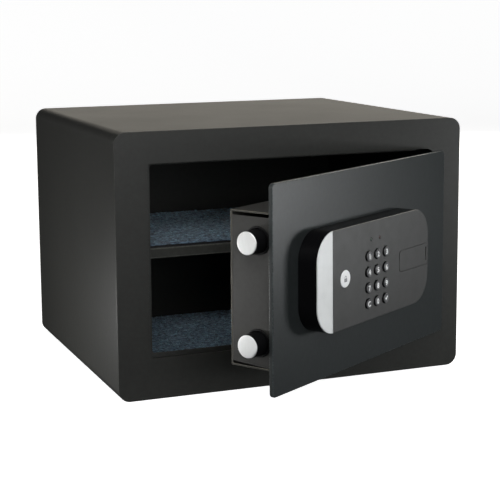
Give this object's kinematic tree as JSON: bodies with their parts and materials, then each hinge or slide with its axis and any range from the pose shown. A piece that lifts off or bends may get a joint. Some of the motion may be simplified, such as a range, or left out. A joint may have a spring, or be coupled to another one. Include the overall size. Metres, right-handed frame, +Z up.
{
  "type": "in-room safe",
  "caption": "Compact steel in-room safe with a hinged door ajar, motor-driven round bolts, keypad panel, emergency lock, shelf and carpet mats.",
  "frame": {"origin": "centre of the body footprint, on the underside of the body", "axes": "+Z up; the door faces -Y and is hinged on the +X side; the rear panel faces +Y"},
  "size_m": [0.352, 0.4636, 0.248],
  "materials": {
    "body_coat": "black fine-texture powder coat on the folded steel body and frame",
    "door_coat": "black fine-texture powder coat on the door plate",
    "case_coat": "dark grey coated sheet steel",
    "panel_plastic": "charcoal moulded plastic, satin face and darker glossy sides",
    "end_band": "satin silver painted plastic",
    "badge": "white moulded disc with a plain padlock symbol",
    "key_plastic": "dark grey moulded key caps with white legends",
    "bolt_chrome": "polished chrome plate",
    "zinc": "bright zinc plate",
    "brass": "plain brass",
    "black_plastic": "black moulded plastic",
    "board": "green circuit board",
    "lens_green": "unlit green indicator lens",
    "lens_red": "unlit red indicator lens",
    "reset_red": "red push button",
    "cell_sleeve": "printed battery sleeve, plain",
    "carpet": "slate-blue needle-felt carpet"
  },
  "bodies": {
    "body": {"body_wrap": "body_coat", "back_panel": "body_coat", "front_frame": "body_coat", "door_stop_frame": "body_coat", "hinge_bracket_top": "body_coat", "hinge_bracket_bottom": "body_coat", "hinge_pin_top": "zinc", "hinge_pin_bottom": "zinc", "shelf": "body_coat", "shelf_mat": "carpet", "shelf_ledge_left": "body_coat", "shelf_ledge_right": "body_coat", "floor_mat": "carpet"},
    "door": {"door_plate": "door_coat", "hinge_arm_top": "zinc", "hinge_arm_bottom": "zinc", "lock_case": "case_coat", "case_cover": "case_coat", "case_screw_1": "zinc", "case_screw_2": "zinc", "case_screw_3": "zinc", "case_screw_4": "zinc", "bolt_bush_upper": "black_plastic", "bolt_bush_lower": "black_plastic", "gear_motor": "zinc", "battery_holder": "black_plastic", "battery_1": "cell_sleeve", "battery_2": "cell_sleeve", "battery_3": "cell_sleeve", "battery_4": "cell_sleeve", "panel_housing": "panel_plastic", "end_band": "end_band", "badge": "badge", "circuit_board": "board", "led_green": "lens_green", "led_red": "lens_red", "override_barrel": "zinc"},
    "bolts": {"bolt_carriage": "zinc", "bolt_upper": "bolt_chrome", "bolt_lower": "bolt_chrome"},
    "pinion": {"drive_pinion": "brass"},
    "override": {"override_plug": "brass", "override_cam": "zinc"},
    "emergency_cover": {"slide_cover": "panel_plastic"},
    "battery_lid": {"battery_cover": "black_plastic"},
    "reset": {"reset_button": "reset_red"},
    "key_1_cap": {"key_1": "key_plastic"},
    "key_2_cap": {"key_2": "key_plastic"},
    "key_3_cap": {"key_3": "key_plastic"},
    "key_4_cap": {"key_4": "key_plastic"},
    "key_5_cap": {"key_5": "key_plastic"},
    "key_6_cap": {"key_6": "key_plastic"},
    "key_7_cap": {"key_7": "key_plastic"},
    "key_8_cap": {"key_8": "key_plastic"},
    "key_9_cap": {"key_9": "key_plastic"},
    "key_clear_cap": {"key_clear": "key_plastic"},
    "key_0_cap": {"key_0": "key_plastic"},
    "key_enter_cap": {"key_enter": "key_plastic"}
  },
  "joints": [
    {"name": "door_hinge", "type": "hinge", "parent": "body", "child": "door", "pos_m": [0.167, -0.141, 0.126], "axis": [0, 0, 1], "range_deg": [-32, 63]},
    {"name": "bolt_throw", "type": "slide", "parent": "door", "child": "bolts", "axis": [0.848, 0.5299, 0], "range_m": [0, 0.014]},
    {"name": "pinion_turn", "type": "hinge", "parent": "door", "child": "pinion", "pos_m": [-0.02344, -0.24762, 0.132], "axis": [-0.5299, 0.848, 0], "range_deg": [-116, 0]},
    {"name": "override_turn", "type": "hinge", "parent": "door", "child": "override", "pos_m": [0.06915, -0.21275, 0.12925], "axis": [-0.5299, 0.848, 0], "range_deg": [0, 90]},
    {"name": "emergency_cover_slide", "type": "slide", "parent": "door", "child": "emergency_cover", "axis": [0.848, 0.5299, 0], "range_m": [0, 0.036]},
    {"name": "battery_lid_slide", "type": "slide", "parent": "door", "child": "battery_lid", "axis": [0, 0, 1], "range_m": [0, 0.05]},
    {"name": "reset_press", "type": "slide", "parent": "door", "child": "reset", "axis": [0.5299, -0.848, 0], "range_m": [0, 0.001], "stiffness_N_per_m": 300},
    {"name": "key_1_press", "type": "slide", "parent": "door", "child": "key_1_cap", "axis": [-0.5299, 0.848, 0], "range_m": [0, 0.001], "stiffness_N_per_m": 300},
    {"name": "key_2_press", "type": "slide", "parent": "door", "child": "key_2_cap", "axis": [-0.5299, 0.848, 0], "range_m": [0, 0.001], "stiffness_N_per_m": 300},
    {"name": "key_3_press", "type": "slide", "parent": "door", "child": "key_3_cap", "axis": [-0.5299, 0.848, 0], "range_m": [0, 0.001], "stiffness_N_per_m": 300},
    {"name": "key_4_press", "type": "slide", "parent": "door", "child": "key_4_cap", "axis": [-0.5299, 0.848, 0], "range_m": [0, 0.001], "stiffness_N_per_m": 300},
    {"name": "key_5_press", "type": "slide", "parent": "door", "child": "key_5_cap", "axis": [-0.5299, 0.848, 0], "range_m": [0, 0.001], "stiffness_N_per_m": 300},
    {"name": "key_6_press", "type": "slide", "parent": "door", "child": "key_6_cap", "axis": [-0.5299, 0.848, 0], "range_m": [0, 0.001], "stiffness_N_per_m": 300},
    {"name": "key_7_press", "type": "slide", "parent": "door", "child": "key_7_cap", "axis": [-0.5299, 0.848, 0], "range_m": [0, 0.001], "stiffness_N_per_m": 300},
    {"name": "key_8_press", "type": "slide", "parent": "door", "child": "key_8_cap", "axis": [-0.5299, 0.848, 0], "range_m": [0, 0.001], "stiffness_N_per_m": 300},
    {"name": "key_9_press", "type": "slide", "parent": "door", "child": "key_9_cap", "axis": [-0.5299, 0.848, 0], "range_m": [0, 0.001], "stiffness_N_per_m": 300},
    {"name": "key_clear_press", "type": "slide", "parent": "door", "child": "key_clear_cap", "axis": [-0.5299, 0.848, 0], "range_m": [0, 0.001], "stiffness_N_per_m": 300},
    {"name": "key_0_press", "type": "slide", "parent": "door", "child": "key_0_cap", "axis": [-0.5299, 0.848, 0], "range_m": [0, 0.001], "stiffness_N_per_m": 300},
    {"name": "key_enter_press", "type": "slide", "parent": "door", "child": "key_enter_cap", "axis": [-0.5299, 0.848, 0], "range_m": [0, 0.001], "stiffness_N_per_m": 300}
  ],
  "couplings": [
    {"joint": "pinion_turn", "follows": "bolt_throw", "rad_per_m": -142.86}
  ]
}
